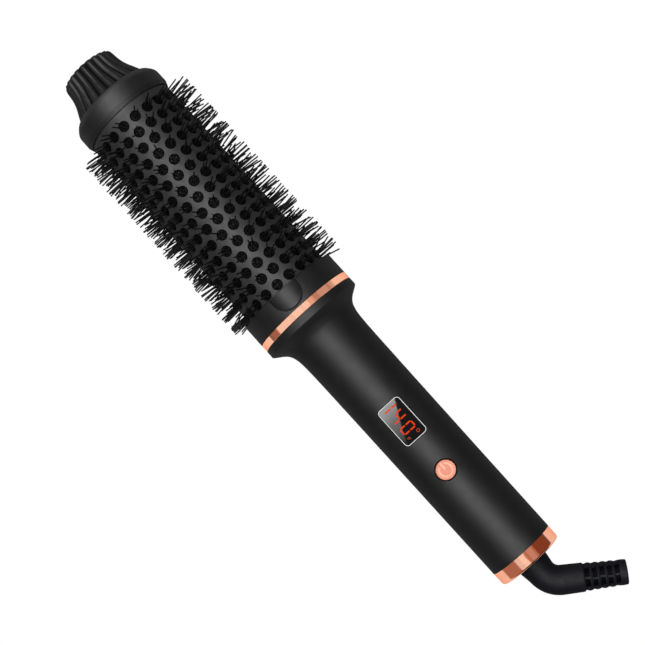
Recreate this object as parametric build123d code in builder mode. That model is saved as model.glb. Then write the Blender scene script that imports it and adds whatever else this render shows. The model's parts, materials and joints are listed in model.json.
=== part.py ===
from build123d import *
import os
from math import sin, cos, tan, radians

os.makedirs("parts", exist_ok=True)

# ---------------------------------------------------------------------------
# Driving dimensions, millimetres.
# Stations along the brush count from the root of the handle's flare, and
# at() turns them into X of the part's own frame, whose origin is under the
# middle of the brush on the surface that it lies on.
# ---------------------------------------------------------------------------
X_REF = 8.9             # station of the middle of the overall length
AXIS_H = 30.8           # brush axis above the surface, the bristle tip radius

TIP_END = -154.95       # end face of the nose
NOSE_BASE = -136.9      # nose meets the collar
COLLAR_BACK = -125.6    # seam between tip collar and barrel
BASE_FRONT = -20.4      # front edge of the base collar
BASE_BACK = -9.95       # base collar meets the rose ring
RING_BACK = -6.5        # rose ring meets the handle flange
SHELL_BACK = 130.9      # handle shells meet the end ring
END_BACK = 137.3        # end face of the end ring
R_TIP_COLLAR = 22.9
R_BARREL = 21.64        # outside of the barrel
R_BARREL_IN = 20.6
R_BASE = 24.44          # base collar, rose ring and flange
R_END = 15.85
N_FLUTES = 22

HOLE_R = 2.5            # bristle holes in the barrel
N_RINGS = 16
N_AROUND = 20
RING_FIRST = -119.25
RING_LAST = -23.3
RING_PITCH = (RING_LAST - RING_FIRST) / (N_RINGS - 1)

CARRIER_IN = 17.9       # bristle carriers inside the barrel
CARRIER_OUT = 20.1
TUFT_ROOT_R = 1.4
TUFT_TIP_R = 2.2
N_CARRIERS = 10

SPREADER_R = 17.5
STACK_HALF = 2.2        # half of the heating stack's height

TONGUE_W = 14.3         # U tongue in the base collar
TONGUE_END = -10.5
TONGUE_GAP = 0.22
CROWN_Z = 11.25         # centre line of the tongue's crowned face, above the brush axis

DISPLAY_X = 55.65
DISPLAY_L = 20.1
DISPLAY_W = 12.3
FRAME_W = 0.5

BUTTON_X = 83.26
BUTTON_R = 4.5
BUTTON_HOLE_R = 4.95

PCB_FRONT = 34.0
PCB_BACK = 104.0
PCB_W = 18.0
PCB_LOW = 7.6
PCB_TOP = 9.2

BEND_X = 149.3          # corner of the cord elbow
BEND_DEG = 55.8
BEND_R = 10.0
BOOT_TAIL = 33.4        # elbow corner to the boot's end
RIB_START = 14.6        # elbow corner to the ribbed stretch
CORD_BORE_R = 3.4

at = lambda station: station - X_REF
AX = Axis((0, 0, AXIS_H), (1, 0, 0))
# the brush's own mid plane: local x is the station, local y is the radius
MID = Plane(origin=(-X_REF, 0, AXIS_H), x_dir=(1, 0, 0), z_dir=(0, -1, 0))


def cross(station):
    """Plane across the brush: local x is +Y, local y is +Z, normal is +X."""
    return Plane(origin=(at(station), 0, AXIS_H), x_dir=(0, 1, 0), z_dir=(1, 0, 0))


def level(height):
    """Plane parallel to the surface, height counted from the brush axis,
    local x is the station."""
    return Plane(origin=(-X_REF, 0, AXIS_H + height), x_dir=(1, 0, 0), z_dir=(0, 0, 1))


def radial(station, degrees, radius):
    """Plane that faces outward at an angle round the brush, 0 is +Z."""
    a = radians(degrees)
    out = (0, sin(a), cos(a))
    return Plane(origin=(at(station), radius * out[1], AXIS_H + radius * out[2]),
                 x_dir=(1, 0, 0), z_dir=out)


def save(builder, name):
    builder.part.label = name
    export_step(builder.part, "parts/%s.step" % name)


# ---------------------------------------------------------------------------
# Head: nose, collar, barrel
# ---------------------------------------------------------------------------
# one groove between two flutes
with BuildPart() as groove:
    with BuildLine() as groove_path:
        ThreePointArc((at(-157.2), 0, AXIS_H + 13.55), (at(-146.2), 0, AXIS_H + 15.55),
                      (at(-135.8), 0, AXIS_H + 20.7))
    with BuildSketch(Plane(groove_path.line @ 0, z_dir=groove_path.line % 0)):
        Circle(1.45)
    sweep(path=groove_path.line)

with BuildPart() as tip_cap:
    with BuildSketch(MID):
        with BuildLine():
            Spline((TIP_END, 11.7), (-154.4, 12.9), (-152.9, 13.6), (-150.6, 13.85),
                   (-148.3, 14.2), (-146.0, 14.82), (-143.7, 15.72), (-141.5, 16.8),
                   (-139.2, 17.85), (NOSE_BASE, 19.1))
            Polyline((NOSE_BASE, 19.1), (NOSE_BASE, 16.6), (-138.6, 15.4), (-144.6, 12.9),
                     (-151.4, 11.2), (-152.6, 10.4), (-152.6, 4.2), (-141.0, 4.2),
                     (-141.0, 1.25), (-150.0, 1.25), (-150.4, 0.0), (-153.9, 0.0),
                     (-153.9, 9.0), (TIP_END, 10.0), (TIP_END, 11.7))
        make_face()
    revolve(axis=AX)
    for k in range(N_FLUTES):
        add(groove.part.rotate(AX, 360.0 / N_FLUTES * k), mode=Mode.SUBTRACT)
save(tip_cap, "tip_cap")

with BuildPart() as tip_collar:
    with BuildSketch(MID):
        with BuildLine():
            Polyline((NOSE_BASE, 17.4), (NOSE_BASE, 19.9))
            Spline((NOSE_BASE, 19.9), (-136.2, 21.0), (-134.5, 22.3), (-132.1, R_TIP_COLLAR),
                   tangents=((0.15, 1), (1, 0)))
            Polyline((-132.1, R_TIP_COLLAR), (-127.6, R_TIP_COLLAR), (COLLAR_BACK, 22.15),
                     (COLLAR_BACK, 21.72), (-129.6, 21.72), (-129.6, 20.5), (-127.2, 20.5),
                     (-127.2, 18.9), (-129.6, 18.9), (-131.4, 17.4), (-131.4, 2.9),
                     (-132.4, 2.9), (-132.4, 1.7), (-134.6, 1.7), (-134.6, 16.2), (-136.9, 17.4))
        make_face()
    revolve(axis=AX)
save(tip_collar, "tip_collar")

with BuildPart() as tip_screw:
    with BuildSketch(MID):
        with BuildLine():
            Polyline((-132.35, 0), (-132.35, 2.7), (-130.6, 2.7), (-130.3, 2.3), (-130.3, 0),
                     (-132.35, 0))
        make_face()
    revolve(axis=AX)
    with BuildSketch(cross(-147.5)):
        Circle(1.2)
    extrude(amount=15.3)
    with BuildSketch(cross(-131.4)):
        RectangleRounded(3.2, 0.7, 0.1)
        RectangleRounded(0.7, 3.2, 0.1)
    extrude(amount=1.2, mode=Mode.SUBTRACT)
save(tip_screw, "tip_screw")

with BuildPart() as nose_boss_bush:
    # steel bush between the nose boss and the collar's web, the screw runs through it
    with BuildSketch(cross(-140.95)):
        Circle(4.0)
        Circle(1.35, mode=Mode.SUBTRACT)
    extrude(amount=6.3)
save(nose_boss_bush, "nose_boss_bush")

with BuildPart() as barrel_tube:
    with BuildSketch(MID):
        with BuildLine():
            # a narrow groove marks the seam behind the tip collar
            Polyline((-129.5, R_BARREL_IN), (-129.5, R_BARREL), (COLLAR_BACK - 0.15, R_BARREL),
                     (COLLAR_BACK - 0.15, R_BARREL - 0.35), (COLLAR_BACK + 0.45, R_BARREL - 0.35),
                     (COLLAR_BACK + 0.45, R_BARREL), (-14.0, R_BARREL),
                     (-14.0, R_BARREL_IN), (-129.5, R_BARREL_IN))
        make_face()
    revolve(axis=AX)
    # odd rings sit half a step round from the even ones
    for k in range(N_AROUND):
        rows = [RING_FIRST + RING_PITCH * i for i in range(N_RINGS) if (i + k) % 2 == 1]
        with BuildSketch(radial(0, 180.0 / N_AROUND * k, 0)):
            with Locations(*[(r, 0) for r in rows]):
                Circle(HOLE_R)
        extrude(amount=R_BARREL + 3, both=True, mode=Mode.SUBTRACT)
save(barrel_tube, "barrel_tube")

# one carrier with its tufts, repeated round the barrel
SECTOR = 360.0 / N_CARRIERS
with BuildPart() as carrier:
    with BuildSketch(MID):
        with BuildLine():
            Polyline((-122.5, CARRIER_IN), (-122.5, CARRIER_OUT), (-21.0, CARRIER_OUT),
                     (-21.0, CARRIER_IN), (-122.5, CARRIER_IN))
        make_face()
    revolve(axis=AX, revolution_arc=SECTOR - 0.6)
with BuildPart() as tufted:
    # the arc reaches from 4.2 degrees on one side of the top to 31.2 on the other
    add(carrier.part.rotate(AX, -4.2))
    with Locations(*[radial(RING_FIRST + RING_PITCH * i, a, 19.4)
                     for i in range(N_RINGS)
                     for a in ((-9.0, -27.0) if i % 2 == 0 else (0.0, -18.0))]):
        Cone(TUFT_ROOT_R, TUFT_TIP_R, AXIS_H - 19.4,
             align=(Align.CENTER, Align.CENTER, Align.MIN))
with BuildPart() as bristle_segments:
    for k in range(N_CARRIERS):
        add(tufted.part.rotate(AX, SECTOR * k))
save(bristle_segments, "bristle_segments")

# ---------------------------------------------------------------------------
# Heating core
# ---------------------------------------------------------------------------
CORE_FRONT, CORE_BACK = -124.8, -20.9


def spreader_half(sign):
    with BuildPart() as half:
        with BuildSketch(cross(CORE_FRONT)):
            Circle(SPREADER_R)
            Circle(SPREADER_R - 2.2, mode=Mode.SUBTRACT)
            with Locations((0, sign * (STACK_HALF + 1.55))):
                Rectangle(2 * SPREADER_R, 3.0, mode=Mode.ADD)
            with Locations((6.2, sign * 10.0), (-6.2, sign * 10.0)):
                Rectangle(2.0, 12.0, mode=Mode.ADD)
            Circle(SPREADER_R, mode=Mode.INTERSECT)
            with Locations((0, -sign * (20 - STACK_HALF - 0.05))):
                Rectangle(40, 40, mode=Mode.SUBTRACT)
        extrude(amount=CORE_BACK - CORE_FRONT)
        # screw holes beside the heating plates
        with BuildSketch(level(0)):
            with Locations((-112.0, 12.6), (-112.0, -12.6), (-33.0, 12.6), (-33.0, -12.6)):
                Circle(1.1 if sign > 0 else 0.93)
        extrude(amount=sign * 6.0, mode=Mode.SUBTRACT)
        if sign > 0:
            with BuildSketch(level(STACK_HALF + 3.05)):
                with Locations((-112.0, 12.6), (-112.0, -12.6), (-33.0, 12.6), (-33.0, -12.6)):
                    Circle(2.1)
            extrude(amount=14.0, mode=Mode.SUBTRACT)
    return half


heat_spreader_upper = spreader_half(1)
save(heat_spreader_upper, "heat_spreader_upper")
heat_spreader_lower = spreader_half(-1)
save(heat_spreader_lower, "heat_spreader_lower")

with BuildPart() as spreader_screws:
    spots4 = [(-112.0, 12.6), (-112.0, -12.6), (-33.0, 12.6), (-33.0, -12.6)]
    with BuildSketch(level(-5.0)):
        with Locations(*spots4):
            Circle(0.9)
    extrude(amount=STACK_HALF + 3.1 + 5.0)
    with BuildSketch(level(STACK_HALF + 3.1)):
        with Locations(*spots4):
            Circle(1.85)
    extrude(amount=1.4)
save(spreader_screws, "spreader_screws")

with BuildPart() as ptc_plates:
    with BuildSketch(level(-1.2)):
        with Locations((-98.0, 0), (-72.5, 0), (-47.0, 0)):
            Rectangle(24.0, 15.0)
    extrude(amount=2.4)
save(ptc_plates, "ptc_plates")

with BuildPart() as heater_electrodes:
    for low in (-1.7, 1.2):
        with BuildSketch(level(low)):
            with Locations((-70.0, 0)):
                Rectangle(84.0, 14.0)
            with Locations((-25.5, 4.0 if low > 0 else -4.0)):
                Rectangle(6.0, 4.0)
        extrude(amount=0.5)
save(heater_electrodes, "heater_electrodes")

with BuildPart() as heater_insulation:
    for low in (-STACK_HALF, 1.7):
        with BuildSketch(level(low)):
            with Locations((-71.0, 0)):
                Rectangle(92.0, 18.0)
        extrude(amount=0.5)
save(heater_insulation, "heater_insulation")

with BuildPart() as heat_disc_front:
    with BuildSketch(cross(-127.05)):
        Circle(R_BARREL_IN - 0.08)
        with PolarLocations(11.0, 3):
            Circle(2.0, mode=Mode.SUBTRACT)
    extrude(amount=2.15)
save(heat_disc_front, "heat_disc_front")

with BuildPart() as heat_disc_rear:
    with BuildSketch(cross(-20.75)):
        Circle(R_BARREL_IN - 0.08)
        Circle(9.2, mode=Mode.SUBTRACT)
    extrude(amount=1.2)
save(heat_disc_rear, "heat_disc_rear")

with BuildPart() as thermistor:
    with BuildSketch(cross(-48.0)):
        with Locations((0, 6.75)):
            Circle(1.4)
    extrude(amount=7.0)
save(thermistor, "thermistor")

with BuildPart() as thermal_fuse:
    with BuildSketch(cross(-54.0)):
        with Locations((0, -7.0)):
            Circle(1.65)
    extrude(amount=11.0)
    with BuildSketch(cross(-60.0)):
        with Locations((0, -7.0)):
            Circle(0.4)
    extrude(amount=26.0)
save(thermal_fuse, "thermal_fuse")

# ---------------------------------------------------------------------------
# Joint between barrel and handle
# ---------------------------------------------------------------------------
with BuildPart() as barrel_mount:
    with BuildSketch(MID):
        with BuildLine():
            Polyline((-19.5, 18.6), (-19.5, 20.52), (-13.9, 20.52), (-13.9, 22.95),
                     (BASE_BACK, 22.95), (BASE_BACK, 22.2), (RING_BACK - 0.1, 22.2),
                     (RING_BACK - 0.1, 13.5),
                     (8.0, 13.5), (8.0, 11.8), (10.7, 11.8), (10.7, 13.5), (14.0, 13.5),
                     (14.0, 9.4), (-12.0, 9.4), (-15.5, 18.6), (-19.5, 18.6))
        make_face()
    revolve(axis=AX)
    with BuildSketch(cross(RING_BACK - 0.1)):
        with Locations((0, -14.2)):
            Rectangle(3.0, 2.4)
    extrude(amount=2.6)
save(barrel_mount, "barrel_mount")

# the tongue, rounded at its rear end, lies in the collar's slot and leans in round its edge
with BuildPart() as tongue:
    for height, inset in ((21.0, 0.0), (22.7, 0.0), (25.7, 1.85)):
        half = TONGUE_W / 2 - TONGUE_GAP - inset
        end = TONGUE_END - TONGUE_GAP - inset
        with BuildSketch(level(height)):
            with BuildLine():
                Polyline((end - half, -half), (BASE_FRONT - 3.0, -half),
                         (BASE_FRONT - 3.0, half), (end - half, half))
                ThreePointArc((end - half, half), (end, 0), (end - half, -half))
            make_face()
    loft(ruled=True)
    # its face is crowned from side to side and falls towards the rear
    with BuildSketch(MID):
        with BuildLine():
            Polyline((-8.0, CROWN_Z), (-25.0, CROWN_Z), (-25.0, 24.25), (-20.1, 24.25))
            ThreePointArc((-20.1, 24.25), (-15.2, 24.05), (-10.3, 23.45))
            Polyline((-10.3, 23.45), (-8.0, 23.1), (-8.0, CROWN_Z))
        make_face()
    revolve(axis=Axis((0, 0, AXIS_H + CROWN_Z), (1, 0, 0)), mode=Mode.INTERSECT)
    with BuildSketch(MID):
        with BuildLine():
            Polyline((-25, 0), (-25, 30), (-20.1, 30), (-20.1, 24.25), (BASE_FRONT, 23.95),
                     (BASE_FRONT, 21.76), (-13.95, 21.76), (-13.95, 23.0),
                     (-8, 23.0), (-8, 0), (-25, 0))
        make_face()
    revolve(axis=AX, mode=Mode.SUBTRACT)

with BuildPart() as base_ring:
    with BuildSketch(MID):
        with BuildLine():
            Polyline((-19.2, 21.76), (-19.2, 22.92), (-13.95, 22.92), (-13.95, 21.76),
                     (-19.2, 21.76))
        make_face()
    revolve(axis=AX)
    add(tongue.part)
save(base_ring, "base_ring")

with BuildPart() as base_collar:
    with BuildSketch(MID):
        with BuildLine():
            Polyline((BASE_FRONT, 21.76), (BASE_FRONT, R_BASE - 0.35),
                     (BASE_FRONT + 0.35, R_BASE), (BASE_BACK, R_BASE),
                     (BASE_BACK, 23.02), (-19.3, 23.02), (-19.3, 21.76), (BASE_FRONT, 21.76))
        make_face()
    revolve(axis=AX)
    with BuildSketch(level(12)):
        half = TONGUE_W / 2
        with BuildLine():
            Polyline((TONGUE_END - half, -half), (-24.0, -half), (-24.0, half),
                     (TONGUE_END - half, half))
            ThreePointArc((TONGUE_END - half, half), (TONGUE_END, 0), (TONGUE_END - half, -half))
        make_face()
    extrude(amount=16.0, mode=Mode.SUBTRACT)
    # the slot's outer edge is eased
    rim = [e for e in base_collar.edges()
           if abs(((e @ 0.5).Y ** 2 + ((e @ 0.5).Z - AXIS_H) ** 2) ** 0.5 - R_BASE) < 0.02
           and (e @ 0.5).Z > AXIS_H + 20 and (e @ 0.5).X < at(TONGUE_END) + 0.05
           and (e @ 0.5).X > at(BASE_FRONT) + 0.5 and abs((e @ 0.5).Y) < TONGUE_W / 2 + 0.05]
    chamfer(rim, 0.28)
save(base_collar, "base_collar")

with BuildPart() as front_ring:
    with BuildSketch(MID):
        with BuildLine():
            Polyline((BASE_BACK + 0.03, 22.3), (BASE_BACK + 0.03, 24.3), (BASE_BACK + 0.17, R_BASE),
                     (RING_BACK - 0.17, R_BASE), (RING_BACK - 0.03, 24.3),
                     (RING_BACK - 0.03, 22.3), (BASE_BACK + 0.03, 22.3))
        make_face()
    revolve(axis=AX)
save(front_ring, "front_ring")

# ---------------------------------------------------------------------------
# Handle shells
# ---------------------------------------------------------------------------
with BuildPart() as shell_blank:
    with BuildSketch(MID):
        with BuildLine():
            Polyline((RING_BACK, 13.6), (RING_BACK, 24.25), (RING_BACK + 0.15, R_BASE),
                     (-3.0, R_BASE))
            Spline((-3.0, R_BASE), (-1.35, 22.15), (0.0, 20.2),
                   (1.2, 18.95), (2.95, 17.85), (5.0, 17.2), tangents=((1, -1.05), (1, -0.26)))
            Spline((5.0, 17.2), (7.1, 16.82), (9.2, 16.64), (13.4, 16.48),
                   tangents=((1, -0.26), (1, -0.022)))
            Polyline((13.4, 16.48), (20.0, 16.36), (44.0, 16.2), (88.0, 16.0), (SHELL_BACK, R_END),
                     (SHELL_BACK, 13.7), (44.0, 14.0), (16.0, 14.2), (10.55, 14.3),
                     (10.55, 11.95), (8.15, 11.95), (8.15, 14.5), (4.0, 15.0), (0.6, 16.4),
                     (-3.6, 18.4), (-4.4, 18.4), (-4.4, 13.6), (RING_BACK, 13.6))
        make_face()
    revolve(axis=AX)

BOSS_X = (24.0, 112.0)
BOSS_Y = 10.4
BOSSES = [(x, s * BOSS_Y) for x in BOSS_X for s in (1, -1)]
BOARD_SCREWS = [(x, s * 6.6) for x in (37.6, 100.4) for s in (1, -1)]

with BuildPart() as wall_fill:
    # what keeps the bosses inside the shell's skin
    with BuildSketch(MID):
        with BuildLine():
            Polyline((16.0, 0), (16.0, 15.2), (44.0, 15.0), (88.0, 14.8), (SHELL_BACK, 14.7),
                     (SHELL_BACK, 0), (16.0, 0))
        make_face()
    revolve(axis=AX)

with BuildPart() as bosses_up:
    with BuildSketch(level(0.15)):
        with Locations(*BOSSES):
            Circle(2.6)
    extrude(amount=16)
    with BuildSketch(level(PCB_TOP)):
        with Locations(*BOARD_SCREWS):
            Circle(1.9)
    extrude(amount=7)
    add(wall_fill.part, mode=Mode.INTERSECT)

# pocket that the display frame drops into, with a ledge under it
with BuildPart() as display_pocket:
    with BuildSketch(level(8)):
        with Locations((DISPLAY_X, 0)):
            RectangleRounded(DISPLAY_L + 0.12, DISPLAY_W + 0.12, 2.06)
    extrude(amount=12)
    with BuildSketch(MID):
        with BuildLine():
            Polyline((40, 14.88), (40, 22), (72, 22), (72, 14.88), (40, 14.88))
        make_face()
    revolve(axis=AX, mode=Mode.INTERSECT)

with BuildPart() as handle_upper_shell:
    add(shell_blank.part)
    split(bisect_by=Plane.XY.offset(AXIS_H + 0.04), keep=Keep.TOP)
    add(bosses_up.part)
    with BuildSketch(level(0)):
        with Locations(*BOSSES):
            Circle(1.02)
    extrude(amount=6.0, mode=Mode.SUBTRACT)
    with BuildSketch(level(PCB_TOP)):
        with Locations(*BOARD_SCREWS):
            Circle(0.82)
    extrude(amount=3.0, mode=Mode.SUBTRACT)
    # display opening with a ledge under the frame
    with BuildSketch(level(8)):
        with Locations((DISPLAY_X, 0)):
            RectangleRounded(17.3, 9.5, 0.6)
    extrude(amount=12, mode=Mode.SUBTRACT)
    add(display_pocket.part, mode=Mode.SUBTRACT)
    # button hole
    with BuildSketch(level(8)):
        with Locations((BUTTON_X, 0)):
            Circle(BUTTON_HOLE_R)
    extrude(amount=12, mode=Mode.SUBTRACT)
save(handle_upper_shell, "handle_upper_shell")

with BuildPart() as bosses_low:
    with BuildSketch(level(-0.15)):
        with Locations(*BOSSES):
            Circle(2.9)
    extrude(amount=-16)
    add(wall_fill.part, mode=Mode.INTERSECT)

with BuildPart() as handle_lower_shell:
    add(shell_blank.part)
    split(bisect_by=Plane.XY.offset(AXIS_H - 0.04), keep=Keep.BOTTOM)
    add(bosses_low.part)
    with BuildSketch(level(0)):
        with Locations(*BOSSES):
            Circle(1.15)
    extrude(amount=-16, mode=Mode.SUBTRACT)
    with BuildSketch(level(-9.2)):
        with Locations(*BOSSES):
            Circle(2.05)
    extrude(amount=-10, mode=Mode.SUBTRACT)
    # slot for the mount's key
    with BuildSketch(cross(-7.3)):
        with Locations((0, -14.3)):
            Rectangle(3.1, 2.8)
    extrude(amount=3.2, mode=Mode.SUBTRACT)
save(handle_lower_shell, "handle_lower_shell")

with BuildPart() as handle_screws:
    with BuildSketch(level(-9.6)):
        with Locations(*BOSSES):
            Circle(1.0)
    extrude(amount=15.05)
    with BuildSketch(level(-9.2)):
        with Locations(*BOSSES):
            Circle(1.9)
    extrude(amount=-1.5)
    with BuildSketch(level(-10.7)):
        with Locations(*BOSSES):
            RectangleRounded(2.2, 0.5, 0.08)
            RectangleRounded(0.5, 2.2, 0.08)
    extrude(amount=0.8, mode=Mode.SUBTRACT)
save(handle_screws, "handle_screws")

# ---------------------------------------------------------------------------
# Display
# ---------------------------------------------------------------------------
with BuildPart() as window_seat:
    with BuildSketch(level(10)):
        with Locations((DISPLAY_X, 0)):
            RectangleRounded(DISPLAY_L - 2 * FRAME_W, DISPLAY_W - 2 * FRAME_W, 2.0 - FRAME_W)
    extrude(amount=10)
    with BuildSketch(MID):
        with BuildLine():
            Polyline((40, 15.38), (40, 22), (72, 22), (72, 15.38), (40, 15.38))
        make_face()
    revolve(axis=AX, mode=Mode.INTERSECT)

with BuildPart() as display_bezel:
    with BuildSketch(level(10)):
        with Locations((DISPLAY_X, 0)):
            RectangleRounded(DISPLAY_L, DISPLAY_W, 2.0)
            RectangleRounded(17.3, 9.5, 0.6, mode=Mode.SUBTRACT)
    extrude(amount=10)
    with BuildSketch(MID):
        with BuildLine():
            Polyline((40, 14.92), (40, 16.27), (72, 16.27), (72, 14.92), (40, 14.92))
        make_face()
    revolve(axis=AX, mode=Mode.INTERSECT)
    add(window_seat.part, mode=Mode.SUBTRACT)
save(display_bezel, "display_bezel")

with BuildPart() as display_window:
    with BuildSketch(level(10)):
        with Locations((DISPLAY_X, 0)):
            RectangleRounded(DISPLAY_L - 2 * FRAME_W - 0.06, DISPLAY_W - 2 * FRAME_W - 0.06,
                             1.97 - FRAME_W)
    extrude(amount=10)
    with BuildSketch(MID):
        with BuildLine():
            Polyline((40, 15.4), (40, 16.15), (72, 16.15), (72, 15.4), (40, 15.4))
        make_face()
    revolve(axis=AX, mode=Mode.INTERSECT)
save(display_window, "display_window")

with BuildPart() as display_module:
    with BuildSketch(level(PCB_TOP)):
        with Locations((DISPLAY_X, 0)):
            RectangleRounded(17.0, 9.1, 0.4)
    extrude(amount=5.0)
save(display_module, "display_module")

# seven-segment digits 1 4 0, a degree ring and a small unit mark
SEG_W = 0.62
with BuildPart() as display_digits:
    with BuildSketch(level(PCB_TOP + 5.0)):
        H = 3.05

        def up(x, lo, hi):
            y0, y1 = lo, hi
            with Locations((DISPLAY_X + x, (y0 + y1) / 2)):
                RectangleRounded(SEG_W, y1 - y0, 0.2)

        def bar(x0, x1, y):
            with Locations((DISPLAY_X + (x0 + x1) / 2, y)):
                RectangleRounded(x1 - x0, SEG_W, 0.2)

        g = 0.28
        # 1
        up(-7.35, g, H + 0.1)
        up(-7.35, -H - 0.1, -g)
        # 4
        up(-4.35, g, H + 0.1)
        up(-1.25, g, H + 0.1)
        up(-1.25, -H - 0.1, -g)
        bar(-4.35 + 0.45, -1.25 - 0.45, 0.0)
        # 0
        up(2.05, g, H - g)
        up(2.05, -H + g, -g)
        up(5.05, g, H - g)
        up(5.05, -H + g, -g)
        bar(2.05 + 0.45, 5.05 - 0.45, H)
        bar(2.05 + 0.45, 5.05 - 0.45, -H)
        # degree ring, upper right, and a small mark, lower right
        with Locations((DISPLAY_X + 7.3, 2.6)):
            Circle(0.8)
            Circle(0.42, mode=Mode.SUBTRACT)
        with Locations((DISPLAY_X + 7.0, -2.75)):
            RectangleRounded(0.34, 1.5, 0.1)
        with Locations((DISPLAY_X + 7.65, -2.15)):
            RectangleRounded(0.8, 0.32, 0.1)
        with Locations((DISPLAY_X + 7.55, -2.8)):
            RectangleRounded(0.6, 0.32, 0.1)
    extrude(amount=0.15)
save(display_digits, "display_digits")

# ---------------------------------------------------------------------------
# Button and its switch
# ---------------------------------------------------------------------------
with BuildPart() as power_button:
    with BuildSketch(level(12.3)):
        with Locations((BUTTON_X, 0)):
            Circle(BUTTON_R)
    extrude(amount=4.1)
    chamfer(power_button.edges().group_by(Axis.Z)[-1], 0.28)
    with BuildSketch(level(11.4)):
        with Locations((BUTTON_X, 0)):
            Circle(5.6)
    extrude(amount=0.9)
    # power mark, an open ring and a stroke, cut shallow into the face
    with BuildSketch(level(16.4)):
        with Locations((BUTTON_X, 0)):
            Circle(3.05)
            Circle(2.65, mode=Mode.SUBTRACT)
        with Locations((BUTTON_X - 2.8, 0)):
            Rectangle(2.2, 2.2, mode=Mode.SUBTRACT)
        with Locations((BUTTON_X - 2.0, 0)):
            RectangleRounded(2.8, 0.42, 0.12)
    extrude(amount=-0.16, mode=Mode.SUBTRACT)
save(power_button, "power_button")

with BuildPart() as switch_plunger:
    with BuildSketch(level(10.1)):
        with Locations((BUTTON_X, 0)):
            Circle(1.2)
    extrude(amount=1.3)
save(switch_plunger, "switch_plunger")

with BuildPart() as button_pad:
    # silicone return pad, a hollow cone that folds under the button
    with BuildSketch(Plane(origin=(at(BUTTON_X), 0, AXIS_H), x_dir=(1, 0, 0),
                           z_dir=(0, -1, 0))):
        with BuildLine():
            Polyline((4.2, PCB_TOP), (5.4, PCB_TOP), (5.4, PCB_TOP + 0.45), (4.2, 11.4),
                     (3.2, 11.4), (3.2, 11.0), (4.2, PCB_TOP + 0.4), (4.2, PCB_TOP))
        make_face()
    revolve(axis=Axis((at(BUTTON_X), 0, 0), (0, 0, 1)))
save(button_pad, "button_pad")

with BuildPart() as tact_switch:
    with BuildSketch(level(PCB_TOP)):
        with Locations((BUTTON_X, 0)):
            RectangleRounded(4.5, 4.5, 0.3)
    extrude(amount=1.4)
    with BuildSketch(level(PCB_TOP + 0.1)):
        with Locations((BUTTON_X, 0)):
            Circle(1.26)
    extrude(amount=1.4, mode=Mode.SUBTRACT)
save(tact_switch, "tact_switch")

# ---------------------------------------------------------------------------
# Control board
# ---------------------------------------------------------------------------
with BuildPart() as control_board:
    with BuildSketch(level(PCB_LOW)):
        with Locations(((PCB_FRONT + PCB_BACK) / 2, 0)):
            RectangleRounded(PCB_BACK - PCB_FRONT, PCB_W, 1.0)
        with Locations(*BOARD_SCREWS):
            Circle(0.95, mode=Mode.SUBTRACT)
    extrude(amount=PCB_TOP - PCB_LOW)
save(control_board, "control_board")

with BuildPart() as board_screws:
    with BuildSketch(level(PCB_LOW)):
        with Locations(*BOARD_SCREWS):
            Circle(0.8)
    extrude(amount=4.4)
    with BuildSketch(level(PCB_LOW)):
        with Locations(*BOARD_SCREWS):
            Circle(1.6)
    extrude(amount=-1.1)
save(board_screws, "board_screws")

with BuildPart() as microcontroller:
    with BuildSketch(level(PCB_LOW)):
        with Locations((60.0, 0)):
            Rectangle(9.9, 3.9)
    extrude(amount=-1.5)
    with BuildSketch(level(PCB_LOW)):
        with Locations((60.0, 2.6), (60.0, -2.6)):
            with GridLocations(1.27, 1, 7, 1):
                Rectangle(0.42, 1.35)
    extrude(amount=-0.35)
save(microcontroller, "microcontroller")

with BuildPart() as triac:
    with BuildSketch(level(PCB_LOW)):
        with Locations((73.5, 0)):
            RectangleRounded(10.2, 9.0, 0.4)
    extrude(amount=-4.4)
save(triac, "triac")

with BuildPart() as capacitor:
    with BuildSketch(level(PCB_LOW)):
        with Locations((87.5, 0)):
            RectangleRounded(13.0, 7.0, 0.8)
    extrude(amount=-12.0)
save(capacitor, "capacitor")

with BuildPart() as mains_fuse:
    with BuildSketch(level(PCB_LOW)):
        with Locations((98.2, 0)):
            RectangleRounded(3.6, 8.4, 0.4)
    extrude(amount=-4.0)
save(mains_fuse, "mains_fuse")

with BuildPart() as buzzer:
    with BuildSketch(level(PCB_LOW)):
        with Locations((49.6, 5.0)):
            Circle(3.6)
    extrude(amount=-3.2)
save(buzzer, "buzzer")

# ---------------------------------------------------------------------------
# Rear end, cord swivel and boot
# ---------------------------------------------------------------------------
with BuildPart() as end_ring:
    with BuildSketch(MID):
        with BuildLine():
            Polyline((SHELL_BACK + 0.05, 14.55), (SHELL_BACK + 0.05, R_END),
                     (END_BACK - 1.15, R_END - 0.1))
            ThreePointArc((END_BACK - 1.15, R_END - 0.1), (END_BACK - 0.32, R_END - 0.45),
                          (END_BACK, R_END - 1.2))
            Polyline((END_BACK, R_END - 1.2), (END_BACK, 14.55), (SHELL_BACK + 0.05, 14.55))
        make_face()
    revolve(axis=AX)
save(end_ring, "end_ring")

with BuildPart() as end_cap:
    with BuildSketch(MID):
        with BuildLine():
            Polyline((121.0, 5.05), (121.0, 13.5), (SHELL_BACK + 0.05, 13.5),
                     (SHELL_BACK + 0.05, 14.45), (END_BACK - 0.45, 14.45), (END_BACK - 0.15, 14.1),
                     (END_BACK - 0.15, 7.7), (131.2, 7.7), (131.2, 5.05), (121.0, 5.05))
        make_face()
    revolve(axis=AX)
save(end_cap, "end_cap")

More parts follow.
